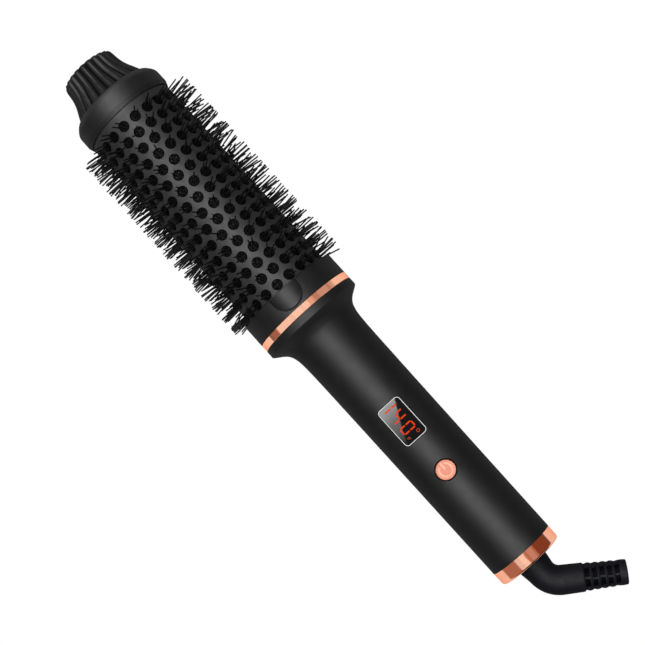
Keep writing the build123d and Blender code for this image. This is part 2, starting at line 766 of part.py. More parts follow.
with BuildPart() as swivel_core:
    with BuildSketch(MID):
        with BuildLine():
            Polyline((103.6, 0), (103.6, 4.0), (118.0, 4.0), (118.0, 5.0), (119.7, 5.0),
                     (119.7, 4.1), (120.65, 4.1), (120.65, 5.0), (140.0, 5.0), (140.0, 2.6),
                     (126.0, 2.6), (126.0, 0), (103.6, 0))
        make_face()
    revolve(axis=AX)
save(swivel_core, "swivel_core")

with BuildPart() as slip_rings:
    for x0 in (105.0, 111.6):
        with BuildSketch(cross(x0)):
            Circle(5.6)
            Circle(4.0, mode=Mode.SUBTRACT)
        extrude(amount=3.4)
save(slip_rings, "slip_rings")

with BuildPart() as ring_spacer:
    with BuildSketch(cross(108.4)):
        Circle(6.2)
        Circle(4.0, mode=Mode.SUBTRACT)
    extrude(amount=3.2)
save(ring_spacer, "ring_spacer")

with BuildPart() as retaining_clip:
    with BuildSketch(cross(119.75)):
        Circle(7.4)
        Circle(4.15, mode=Mode.SUBTRACT)
        with Locations((0, 6.0)):
            Rectangle(5.2, 12.0, mode=Mode.SUBTRACT)
    extrude(amount=0.85)
save(retaining_clip, "retaining_clip")

with BuildPart() as contact_carrier:
    with BuildSketch(level(-12.4)):
        with Locations((110.0, 0)):
            RectangleRounded(12.0, 9.0, 0.6)
    extrude(amount=3.9)
save(contact_carrier, "contact_carrier")

with BuildPart() as contact_springs:
    for xc in (106.7, 113.3):
        with BuildSketch(Plane(origin=(at(xc), 0, AXIS_H), x_dir=(0, 1, 0), z_dir=(1, 0, 0))):
            with BuildLine():
                Polyline((-4.2, -8.5), (-4.2, -8.2), (-2.6, -8.2), (-1.6, -5.9), (1.6, -5.9),
                         (2.6, -6.9), (2.9, -6.75), (1.75, -5.6), (-1.75, -5.6))
                Polyline((-1.75, -5.6), (-2.85, -7.9), (-4.5, -7.9), (-4.5, -8.5), (-4.2, -8.5))
            make_face()
        extrude(amount=1.2, both=True)
        # the leaf clears the ring that it presses on by a hair
        with BuildSketch(cross(xc - 3.0)):
            Circle(5.68)
        extrude(amount=6.0, mode=Mode.SUBTRACT)
save(contact_springs, "contact_springs")

# boot: straight root, elbow, tail with ribs
EXIT_X = 131.4
tan_len = BEND_R * tan(radians(BEND_DEG / 2))
ux, uy = cos(radians(BEND_DEG)), sin(radians(BEND_DEG))
arc_in = BEND_X - tan_len


def tail(distance):
    """Plane across the tail, local x lies across it and local y is +Z."""
    return Plane(origin=(at(BEND_X) + ux * distance, uy * distance, AXIS_H),
                 x_dir=(-uy, ux, 0), z_dir=(ux, uy, 0))


R_ELBOW = 6.5
# plane that holds the tail's axis: local x along the tail, local y is +Z
TAIL_MID = Plane(origin=(at(BEND_X), 0, AXIS_H), x_dir=(ux, uy, 0), z_dir=(uy, -ux, 0))
TAIL_AX = Axis((at(BEND_X), 0, AXIS_H), (ux, uy, 0))
RIB_PITCH = (BOOT_TAIL - RIB_START) / 5.82
# middle of each groove, and the radius in it and on the rounded rib behind it
GROOVES = [(RIB_START + 0.775 + RIB_PITCH * i, low, crest) for i, (low, crest) in
           enumerate(((5.68, 6.06), (5.58, 5.9), (5.48, 5.8), (5.36, 5.7), (5.28, 5.56)))]
with BuildPart() as cord_boot:
    with BuildSketch(MID):
        with BuildLine():
            Polyline((EXIT_X, 0), (EXIT_X, 7.38), (END_BACK + 0.6, 7.38), (arc_in, R_ELBOW),
                     (arc_in, 0), (EXIT_X, 0))
        make_face()
    revolve(axis=AX)
    with BuildSketch(cross(arc_in)):
        Circle(R_ELBOW)
    revolve(axis=Axis((at(arc_in), BEND_R, 0), (0, 0, 1)), revolution_arc=BEND_DEG)
    with BuildSketch(TAIL_MID):
        with BuildLine():
            Polyline((tan_len, 0), (tan_len, R_ELBOW), (RIB_START - 0.2, 6.3),
                     (RIB_START + 0.15, 6.15), (GROOVES[0][0] - 0.25, GROOVES[0][1]),
                     (GROOVES[0][0] + 0.25, GROOVES[0][1]))
            for (g0, low0, crest), (g1, low1, _) in zip(GROOVES, GROOVES[1:]):
                ThreePointArc((g0 + 0.25, low0), ((g0 + g1) / 2, crest), (g1 - 0.25, low1))
                Line((g1 - 0.25, low1), (g1 + 0.25, low1))
            ThreePointArc((GROOVES[4][0] + 0.25, 5.28), (BOOT_TAIL - 2.2, 5.56),
                          (BOOT_TAIL - 0.5, 5.42))
            ThreePointArc((BOOT_TAIL - 0.5, 5.42), (BOOT_TAIL - 0.15, 5.27), (BOOT_TAIL, 4.9))
            Polyline((BOOT_TAIL, 4.9), (BOOT_TAIL, 0), (tan_len, 0))
        make_face()
    revolve(axis=TAIL_AX)
    # behind each groove, two pockets side by side in the top and two underneath
    for i, (middle, low, _) in enumerate(GROOVES):
        turn = 2.5 if i % 2 == 0 else -2.5
        with BuildSketch(tail(middle - 0.2)):
            for a0, a1 in ((4.5, 58), (-58, -4.5), (184.5, 238), (122, 175.5)):
                Polygon((0, 0), *[(9 * sin(radians(a + turn)), 9 * cos(radians(a + turn)))
                                  for a in (a0, (a0 + a1) / 2, a1)], align=None)
            Circle(4.15, mode=Mode.SUBTRACT)
        extrude(amount=2.0, mode=Mode.SUBTRACT)
    # passage of the cord
    with BuildSketch(cross(EXIT_X - 0.5)):
        Circle(5.0)
    extrude(amount=140.0 - EXIT_X + 0.5, mode=Mode.SUBTRACT)
    with BuildSketch(cross(139.9)):
        Circle(CORD_BORE_R)
    extrude(amount=arc_in - 139.9, mode=Mode.SUBTRACT)
    with BuildSketch(cross(arc_in)):
        Circle(CORD_BORE_R)
    revolve(axis=Axis((at(arc_in), BEND_R, 0), (0, 0, 1)), revolution_arc=BEND_DEG,
            mode=Mode.SUBTRACT)
    with BuildSketch(tail(tan_len)):
        Circle(CORD_BORE_R)
    extrude(amount=BOOT_TAIL - tan_len + 1, mode=Mode.SUBTRACT)
save(cord_boot, "cord_boot")

# ---------------------------------------------------------------------------
# Leads that stay inside the housing
# ---------------------------------------------------------------------------


def lead(points, bend, thick):
    pts = [(at(x), y, AXIS_H + z) for x, y, z in points]
    with BuildPart() as wire:
        with BuildLine() as path:
            FilletPolyline(*pts, radius=bend)
        with BuildSketch(Plane(path.line @ 0, z_dir=path.line % 0)):
            Circle(thick)
        sweep(path=path.line)
    return wire


heater_wires = [lead([(-22.4, 4.0 * s, 1.45 * s), (41.0, 4.0 * s, 1.45 * s),
                      (41.0, 4.0 * s, PCB_LOW)], 4.0, 0.8) for s in (1, -1)]
with BuildPart() as heater_leads:
    add([w.part for w in heater_wires])
save(heater_leads, "heater_leads")

fuse_lead = lead([(-34.0, 0, -7.0), (44.8, 0, -7.0), (44.8, 0, PCB_LOW)], 5.0, 0.8)
save(fuse_lead, "fuse_lead")

sensor_wires = [lead([(-41.0, 0.75 * s, 6.6), (-6.0, 0.75 * s, 6.6), (10.0, 0.75 * s, 5.2),
                      (38.4, 0.75 * s, 5.2), (38.4, 0.75 * s, PCB_LOW)], 1.6, 0.45)
                for s in (1, -1)]
with BuildPart() as sensor_leads:
    add([w.part for w in sensor_wires])
save(sensor_leads, "sensor_leads")

mains_wires = [lead([(104.0, 3.0 * s, -10.6), (101.8, 3.0 * s, -10.6),
                     (101.8, 3.0 * s, PCB_LOW)], 2.0, 0.8) for s in (1, -1)]
with BuildPart() as mains_leads:
    add([w.part for w in mains_wires])
save(mains_leads, "mains_leads")
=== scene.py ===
import json
import math
import random

import bpy
import numpy as np
from mathutils import Matrix, Vector


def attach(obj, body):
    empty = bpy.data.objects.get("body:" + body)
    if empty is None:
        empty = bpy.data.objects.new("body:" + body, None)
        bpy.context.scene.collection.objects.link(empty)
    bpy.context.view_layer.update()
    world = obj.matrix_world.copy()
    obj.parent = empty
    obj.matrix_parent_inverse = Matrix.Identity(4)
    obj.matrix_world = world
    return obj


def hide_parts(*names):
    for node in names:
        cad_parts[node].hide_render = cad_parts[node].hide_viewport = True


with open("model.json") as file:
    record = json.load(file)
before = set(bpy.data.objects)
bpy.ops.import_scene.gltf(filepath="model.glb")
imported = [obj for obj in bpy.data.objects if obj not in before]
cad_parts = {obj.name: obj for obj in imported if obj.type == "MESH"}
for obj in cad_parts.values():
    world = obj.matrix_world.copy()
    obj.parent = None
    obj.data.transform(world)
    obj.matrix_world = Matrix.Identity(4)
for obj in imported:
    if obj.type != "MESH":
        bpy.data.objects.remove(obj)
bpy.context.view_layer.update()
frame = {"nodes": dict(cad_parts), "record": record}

NODES = frame["nodes"]
MM = 0.001

# ---------------------------------------------------------------------------
# The frame's own numbers, in millimetres. Stations count along the brush from
# the root of the handle's flare, towards the cord.
# ---------------------------------------------------------------------------
X_REF = 8.9
AXIS_H = 30.8
N_RINGS, N_AROUND = 16, 20
RING_FIRST, RING_LAST = -119.25, -23.3
RING_PITCH = (RING_LAST - RING_FIRST) / (N_RINGS - 1)
TIP_END, NOSE_BASE = -154.95, -136.9
N_FLUTES = 22
R_BARREL = 21.64
STRANDS = 4
BUTTON_X = 83.26
DISPLAY_X = 55.65
ELBOW_X, ELBOW_DEG = 149.3, 55.8
KEY = 3.8

AXIS = Vector((0, 0, AXIS_H * MM))


def pt(station, radius, degrees):
    """A point round the brush axis, 0 degrees is up (+Z), 90 is +Y."""
    a = math.radians(degrees)
    return ((station - X_REF) * MM, radius * math.sin(a) * MM,
            (AXIS_H + radius * math.cos(a)) * MM)


# ---------------------------------------------------------------------------
# Camera
# ---------------------------------------------------------------------------
def set_camera():
    focal_px, size_px = 1560.0, 645.0
    dist = focal_px * 0.44 * MM
    tilt, roll3, turn = math.radians(4.76), math.radians(3.0), math.radians(47.85)
    look = Vector((-X_REF * MM, 2.33 * MM, AXIS_H * MM))
    c = Vector((math.sin(tilt), math.cos(tilt) * math.sin(roll3),
                math.cos(tilt) * math.cos(roll3)))
    e1 = (Vector((1, 0, 0)) - c * c.x).normalized()
    e2 = c.cross(e1)
    right = e1 * math.cos(turn) + e2 * math.sin(turn)
    upv = -e1 * math.sin(turn) + e2 * math.cos(turn)
    cam = bpy.data.cameras.new("camera")
    cam.sensor_width = 36.0
    cam.sensor_fit = "HORIZONTAL"
    cam.lens = focal_px / size_px * 36.0
    cam.clip_start, cam.clip_end = 0.01, 50.0
    ob = bpy.data.objects.new("camera", cam)
    m = Matrix((right, upv, c)).transposed().to_4x4()
    m.translation = look + c * dist
    ob.matrix_world = m
    bpy.context.scene.collection.objects.link(ob)
    bpy.context.scene.camera = ob
    return ob


set_camera()


# ---------------------------------------------------------------------------
# Materials
# ---------------------------------------------------------------------------
def principled(name):
    mat = bpy.data.materials.new(name)
    mat.use_nodes = True
    nt = mat.node_tree
    bsdf = nt.nodes.get("Principled BSDF")
    if bsdf is None:
        nt.nodes.clear()
        bsdf = nt.nodes.new("ShaderNodeBsdfPrincipled")
        out = nt.nodes.new("ShaderNodeOutputMaterial")
        nt.links.new(bsdf.outputs[0], out.inputs[0])
    return mat, nt, bsdf


def coords(nt, scale=(1, 1, 1)):
    tc = nt.nodes.new("ShaderNodeTexCoord")
    mp = nt.nodes.new("ShaderNodeMapping")
    mp.inputs["Scale"].default_value = scale
    nt.links.new(tc.outputs["Object"], mp.inputs["Vector"])
    return mp.outputs["Vector"]


def noise(nt, vec, scale, detail=3.0, rough=0.5):
    n = nt.nodes.new("ShaderNodeTexNoise")
    n.inputs["Scale"].default_value = scale
    n.inputs["Detail"].default_value = detail
    n.inputs["Roughness"].default_value = rough
    nt.links.new(vec, n.inputs["Vector"])
    return n.outputs["Fac"]


def remap(nt, value, lo, hi, a, b):
    m = nt.nodes.new("ShaderNodeMapRange")
    m.inputs["From Min"].default_value = lo
    m.inputs["From Max"].default_value = hi
    m.inputs["To Min"].default_value = a
    m.inputs["To Max"].default_value = b
    nt.links.new(value, m.inputs["Value"])
    return m.outputs["Result"]


def two_tone(nt, fac, c0, c1, p0=0.3, p1=0.7):
    r = nt.nodes.new("ShaderNodeValToRGB")
    r.color_ramp.elements[0].position = p0
    r.color_ramp.elements[1].position = p1
    r.color_ramp.elements[0].color = (*c0, 1)
    r.color_ramp.elements[1].color = (*c1, 1)
    nt.links.new(fac, r.inputs["Fac"])
    return r.outputs["Color"]


def bump(nt, height, strength, distance, normal=None):
    b = nt.nodes.new("ShaderNodeBump")
    b.inputs["Strength"].default_value = strength
    b.inputs["Distance"].default_value = distance
    nt.links.new(height, b.inputs["Height"])
    if normal is not None:
        nt.links.new(normal, b.inputs["Normal"])
    return b.outputs["Normal"]


def calc(nt, op, a, c=None):
    m = nt.nodes.new("ShaderNodeMath")
    m.operation = op
    for socket, v in zip(m.inputs, (a, c)):
        if v is None:
            continue
        if isinstance(v, (int, float)):
            socket.default_value = v
        else:
            nt.links.new(v, socket)
    return m.outputs[0]


def position_mm(nt, station):
    """Object position in millimetres: along the brush from a station, across, and height."""
    tc = nt.nodes.new("ShaderNodeTexCoord")
    sep = nt.nodes.new("ShaderNodeSeparateXYZ")
    nt.links.new(tc.outputs["Object"], sep.inputs[0])
    x = calc(nt, "MULTIPLY", calc(nt, "SUBTRACT", sep.outputs["X"], (station - X_REF) * MM), 1000.0)
    y = calc(nt, "MULTIPLY", sep.outputs["Y"], 1000.0)
    z = calc(nt, "MULTIPLY", sep.outputs["Z"], 1000.0)
    return x, y, z


def darken(nt, b, keep, dark):
    """Base colour stays where keep is 1 and turns dark where it is 0."""
    colour = b.inputs["Base Color"].links[0].from_socket
    mix = nt.nodes.new("ShaderNodeMix")
    mix.data_type = "RGBA"
    ins = [i for i in mix.inputs if i.enabled]
    factor = next(i for i in ins if i.name == "Factor")
    a = next(i for i in ins if i.name == "A")
    c = next(i for i in ins if i.name == "B")
    nt.links.new(keep, factor)
    a.default_value = (*dark, 1)
    nt.links.new(colour, c)
    nt.links.new(next(o for o in mix.outputs if o.enabled), b.inputs["Base Color"])


def surface(name, dark, light, rough, rough_span=0.04, metallic=0.0, ior=1.5,
            spec=0.5, grain=4000.0, grain_strength=0.1, grain_depth=2e-5,
            cloud=60.0, coat=0.0, coat_rough=0.2, stretch=(1, 1, 1), aniso=0.0,
            emit=None, emit_strength=0.0, edge=(1.0, 1.0, 1.0)):
    mat, nt, b = principled(name)
    b.inputs["Specular Tint"].default_value = (*edge, 1)
    vec = coords(nt, stretch)
    big = noise(nt, vec, cloud, 4.0)
    nt.links.new(two_tone(nt, big, dark, light), b.inputs["Base Color"])
    mid = noise(nt, vec, cloud * 7.0, 3.0)
    nt.links.new(remap(nt, mid, 0.3, 0.7, rough - rough_span, rough + rough_span),
                 b.inputs["Roughness"])
    fine = noise(nt, vec, grain, 2.0)
    if grain_strength > 0:
        nt.links.new(bump(nt, fine, grain_strength, grain_depth), b.inputs["Normal"])
    b.inputs["Metallic"].default_value = metallic
    b.inputs["IOR"].default_value = ior
    b.inputs["Specular IOR Level"].default_value = spec
    b.inputs["Coat Weight"].default_value = coat
    b.inputs["Coat Roughness"].default_value = coat_rough
    b.inputs["Anisotropic"].default_value = aniso
    if emit is not None:
        b.inputs["Emission Color"].default_value = (*emit, 1)
        b.inputs["Emission Strength"].default_value = emit_strength
    return mat


M = {}
M["handle"] = surface("handle_soft_touch", (0.0048, 0.0048, 0.0050), (0.0066, 0.0066, 0.0068),
                      0.52, 0.03, grain=5200, grain_strength=0.10, grain_depth=1.5e-5, cloud=35)
M["cool_tip"] = surface("tip_satin_black", (0.0075, 0.0075, 0.0077), (0.0098, 0.0098, 0.0100),
                        0.47, 0.03, grain=4300, grain_strength=0.10, grain_depth=1.5e-5, cloud=45)
M["nose"] = surface("nose_satin_black", (0.0075, 0.0075, 0.0077), (0.0098, 0.0098, 0.0100),
                    0.47, 0.03, grain=4300, grain_strength=0.10, grain_depth=1.5e-5, cloud=45)
M["barrel"] = surface("barrel_satin_coat", (0.040, 0.040, 0.0405), (0.050, 0.050, 0.0508),
                      0.50, 0.04, metallic=0.5, grain=6000, grain_strength=0.12,
                      grain_depth=1.2e-5, cloud=80)
M["bristle"] = surface("bristle_nylon", (0.0035, 0.0035, 0.0038), (0.0060, 0.0060, 0.0064),
                       0.42, 0.05, spec=0.30, grain=2500, grain_strength=0.05, cloud=300)
M["carrier"] = surface("carrier_black", (0.0015, 0.0015, 0.0016), (0.0030, 0.0030, 0.0032),
                       0.60, 0.05, spec=0.10, grain=2500, grain_strength=0.10, cloud=200)
M["rose_metal"] = surface("rose_gold_polished", (0.86, 0.455, 0.315), (0.90, 0.48, 0.335),
                          0.10, 0.02, metallic=1.0, grain=9000, grain_strength=0.02,
                          grain_depth=4e-6, cloud=120, stretch=(6, 1, 1),
                          edge=(0.92, 0.60, 0.48))
M["rose_button"] = surface("rose_gold_satin", (0.84, 0.335, 0.238), (0.88, 0.365, 0.262),
                           0.24, 0.04, metallic=1.0, grain=7000, grain_strength=0.05,
                           grain_depth=6e-6, cloud=200)


def mark_and_shade_button(mat):
    """Painted shade: the sides and the skirt below the face are dark, for the shaded gap round the
    button. The mark's edges are rounded.
    """
    nt = mat.node_tree
    b = nt.nodes["Principled BSDF"]
    x, y, z = position_mm(nt, BUTTON_X)
    r = calc(nt, "SQRT", calc(nt, "ADD", calc(nt, "MULTIPLY", x, x), calc(nt, "MULTIPLY", y, y)))
    off_ring = calc(nt, "ABSOLUTE", calc(nt, "SUBTRACT", r, 2.85))
    gap = calc(nt, "MULTIPLY", calc(nt, "LESS_THAN", x, 0.0),
               calc(nt, "LESS_THAN", calc(nt, "ABSOLUTE", y), 1.1))
    off_ring = calc(nt, "ADD", off_ring, gap)
    dx = calc(nt, "SUBTRACT", calc(nt, "ABSOLUTE", calc(nt, "ADD", x, 2.0)), 1.3)
    off_bar = calc(nt, "ADD", calc(nt, "ABSOLUTE", y), calc(nt, "MAXIMUM", dx, 0.0))
    near = calc(nt, "MINIMUM", off_ring, off_bar)
    mark = remap(nt, near, 0.05, 0.60, 0.0, 1.0)
    darken(nt, b, remap(nt, near, 0.10, 0.34, 0.0, 1.0), (0.95, 0.52, 0.395))
    # painted shade: below the face the button turns near black, for the shaded gap round it
    darken(nt, b, remap(nt, z, AXIS_H + 15.75, AXIS_H + 15.95, 0.0, 1.0), (0.004, 0.003, 0.003))
    rim = remap(nt, calc(nt, "ABSOLUTE", calc(nt, "SUBTRACT", r, 3.80)), 0.0, 0.42, 0.0, 1.0)
    height = calc(nt, "ADD", mark, calc(nt, "MULTIPLY", rim, 0.5))
    old = b.inputs["Normal"].links[0].from_socket
    nt.links.new(bump(nt, height, 1.0, 7.0e-5, old), b.inputs["Normal"])
    return mat


def finish_frame(mat):
    """A bright line with a black outer edge."""
    nt = mat.node_tree
    b = nt.nodes["Principled BSDF"]
    x, y, z = position_mm(nt, DISPLAY_X)
    half_x, half_y, radius = 10.05, 6.15, 2.0
    qx = calc(nt, "SUBTRACT", calc(nt, "ABSOLUTE", x), half_x - radius)
    qy = calc(nt, "SUBTRACT", calc(nt, "ABSOLUTE", y), half_y - radius)
    px, py = calc(nt, "MAXIMUM", qx, 0.0), calc(nt, "MAXIMUM", qy, 0.0)
    corner = calc(nt, "SQRT", calc(nt, "ADD", calc(nt, "MULTIPLY", px, px),
                                   calc(nt, "MULTIPLY", py, py)))
    inside = calc(nt, "MINIMUM", calc(nt, "MAXIMUM", qx, qy), 0.0)
    edge = calc(nt, "SUBTRACT", calc(nt, "ADD", corner, inside), radius)
    lit = remap(nt, edge, -0.25, -0.21, 1.0, 0.0)
    up = calc(nt, "SUBTRACT", z, AXIS_H)
    out = calc(nt, "SQRT", calc(nt, "ADD", calc(nt, "MULTIPLY", y, y),
                                calc(nt, "MULTIPLY", up, up)))
    lit = calc(nt, "MULTIPLY", lit, remap(nt, out, 16.10, 16.20, 0.0, 1.0))
    darken(nt, b, lit, (0.006, 0.006, 0.006))
    return mat


mark_and_shade_button(M["rose_button"])
M["silver_frame"] = surface("frame_satin_silver", (0.66, 0.66, 0.67), (0.76, 0.76, 0.77),
                            0.22, 0.03, metallic=1.0, grain=8000, grain_strength=0.03,
                            grain_depth=4e-6, cloud=200)
finish_frame(M["silver_frame"])
M["black_module"] = surface("module_black", (0.006, 0.006, 0.0065), (0.009, 0.009, 0.0095),
                            0.5, 0.05, grain=3000, grain_strength=0.1, cloud=150)
M["red_digits"] = surface("digits_lit", (0.02, 0.002, 0.001), (0.03, 0.003, 0.001), 0.5, 0.05,
                          spec=0.0, grain=3000, grain_strength=0.05, cloud=500,
                          emit=(1.0, 0.070, 0.009), emit_strength=0.80)
M["red_dim"] = surface("digits_dim", (0.04, 0.008, 0.005), (0.06, 0.012, 0.007), 0.5, 0.05,
                       spec=0.0, grain=3000, grain_strength=0.05, cloud=500,
                       emit=(1.0, 0.13, 0.05), emit_strength=0.34)
M["cord_boot"] = surface("boot_rubber", (0.0036, 0.0038, 0.0062), (0.0052, 0.0055, 0.0088),
                         0.60, 0.05, spec=0.26, grain=3200, grain_strength=0.18, grain_depth=2.5e-5,
                         cloud=70)
M["inner_plastic"] = surface("inner_natural", (0.42, 0.40, 0.34), (0.50, 0.47, 0.41), 0.5)
M["brass_contact"] = surface("contact_brass", (0.72, 0.50, 0.20), (0.80, 0.58, 0.26), 0.25,
                             metallic=1.0)
M["steel"] = surface("steel_plated", (0.50, 0.50, 0.51), (0.62, 0.62, 0.63), 0.28, metallic=1.0)
M["core_aluminium"] = surface("aluminium_extruded", (0.60, 0.60, 0.62), (0.70, 0.70, 0.72), 0.34,
                              metallic=1.0, stretch=(0.2, 1, 1))
M["ceramic"] = surface("ceramic_sintered", (0.68, 0.67, 0.62), (0.76, 0.75, 0.70), 0.6)
M["amber_film"] = surface("film_amber", (0.45, 0.20, 0.03), (0.55, 0.26, 0.05), 0.25)
M["green_board"] = surface("board_green", (0.012, 0.09, 0.035), (0.02, 0.12, 0.05), 0.35)
M["yellow_case"] = surface("case_yellow", (0.62, 0.44, 0.05), (0.70, 0.50, 0.07), 0.4)
M["silicone"] = surface("pad_silicone", (0.50, 0.50, 0.47), (0.58, 0.58, 0.55), 0.5)
M["lead_white"] = surface("lead_sleeve_white", (0.62, 0.62, 0.58), (0.72, 0.72, 0.68), 0.55)
M["lead_blue"] = surface("lead_blue", (0.03, 0.07, 0.28), (0.05, 0.10, 0.34), 0.4)


def window_material():
    mat = bpy.data.materials.new("window_smoked")
    mat.use_nodes = True
    nt = mat.node_tree
    nt.nodes.clear()
    out = nt.nodes.new("ShaderNodeOutputMaterial")
    clear = nt.nodes.new("ShaderNodeBsdfTransparent")
    gloss = nt.nodes.new("ShaderNodeBsdfGlossy")
    gloss.inputs["Color"].default_value = (1, 1, 1, 1)
    vec = coords(nt)
    nt.links.new(two_tone(nt, noise(nt, vec, 90.0, 3.0), (0.050, 0.050, 0.052), (0.070, 0.070, 0.072)),
                 clear.inputs["Color"])
    nt.links.new(remap(nt, noise(nt, vec, 500.0, 2.0), 0.3, 0.7, 0.016, 0.024),
                 gloss.inputs["Roughness"])
    fres = nt.nodes.new("ShaderNodeFresnel")
    fres.inputs["IOR"].default_value = 1.52
    mix = nt.nodes.new("ShaderNodeMixShader")
    nt.links.new(fres.outputs["Fac"], mix.inputs["Fac"])
    nt.links.new(clear.outputs[0], mix.inputs[1])
    nt.links.new(gloss.outputs[0], mix.inputs[2])
    nt.links.new(mix.outputs[0], out.inputs["Surface"])
    return mat


M["smoked_window"] = window_material()

def shade_boot_pockets(mat):
    """Painted shade: the floors of the pockets between the ribs get a dark matt skin, like the cord's
    bore, for the shade in these recesses.
    """
    nt = mat.node_tree
    b = nt.nodes["Principled BSDF"]
    x, y, z = position_mm(nt, ELBOW_X)
    ux, uy = math.cos(math.radians(ELBOW_DEG)), math.sin(math.radians(ELBOW_DEG))
    across = calc(nt, "ADD", calc(nt, "MULTIPLY", x, -uy), calc(nt, "MULTIPLY", y, ux))
    along = calc(nt, "ADD", calc(nt, "MULTIPLY", x, ux), calc(nt, "MULTIPLY", y, uy))
    up = calc(nt, "SUBTRACT", z, AXIS_H)
    r = calc(nt, "SQRT", calc(nt, "ADD", calc(nt, "MULTIPLY", across, across),
                              calc(nt, "MULTIPLY", up, up)))
    # painted shade on the pocket floors between the ribs
    pocket_shade = calc(nt, "MULTIPLY", remap(nt, r, 4.35, 5.15, 0.80, 0.0),
                remap(nt, along, 13.0, 14.0, 0.0, 1.0))
    paint_shade_where(nt, b, pocket_shade)
    return mat


def paint_shade_where(nt, b, share):
    """Painted shade: a dark matt skin takes this share of the surface."""
    shade_skin = nt.nodes.new("ShaderNodeBsdfDiffuse")
    shade_skin.inputs["Color"].default_value = (0.0015, 0.0015, 0.0020, 1)
    mix = nt.nodes.new("ShaderNodeMixShader")
    out = next(n for n in nt.nodes if n.type == "OUTPUT_MATERIAL")
    nt.links.new(share, mix.inputs["Fac"])
    nt.links.new(b.outputs[0], mix.inputs[1])
    nt.links.new(shade_skin.outputs[0], mix.inputs[2])
    nt.links.new(mix.outputs[0], out.inputs["Surface"])


def shade_nose_grooves(mat):
    """Painted shade: the flutes' grooves get a dark matt skin at the bottom, up to the rim of the end.
    """
    nt = mat.node_tree
    b = nt.nodes["Principled BSDF"]
    x, y, z = position_mm(nt, TIP_END)
    turn = calc(nt, "ARCTAN2", y, calc(nt, "SUBTRACT", z, AXIS_H))
    wave = calc(nt, "ABSOLUTE", calc(nt, "COSINE", calc(nt, "MULTIPLY", turn, N_FLUTES / 2)))
    # painted shade in the creases between the flutes
    groove = calc(nt, "MULTIPLY", remap(nt, wave, 0.16, 0.48, 0.85, 0.0),
                  remap(nt, x, 0.3, 1.2, 0.0, 1.0))
    paint_shade_where(nt, b, groove)
    return mat


shade_boot_pockets(M["cord_boot"])
shade_nose_grooves(M["nose"])

SLOTS = {s["node"]: s["material_slot"] for s in frame["record"]["subparts"]}
for name, ob in NODES.items():
    ob.data.materials.clear()
    ob.data.materials.append(M[SLOTS[name]])


def smooth(me, limit=None):
    me.polygons.foreach_set("use_smooth", [True] * len(me.polygons))
    if limit is not None:
        me.set_sharp_from_angle(angle=math.radians(limit))
    me.update()


def new_mesh(name, verts, faces, mat, limit=None):
    me = bpy.data.meshes.new(name)
    me.from_pydata([tuple(v) for v in verts], [], [tuple(f) for f in faces])
    me.validate()
    me.materials.append(mat)
    smooth(me, limit)
    ob = bpy.data.objects.new(name, me)
    bpy.context.scene.collection.objects.link(ob)
    return ob


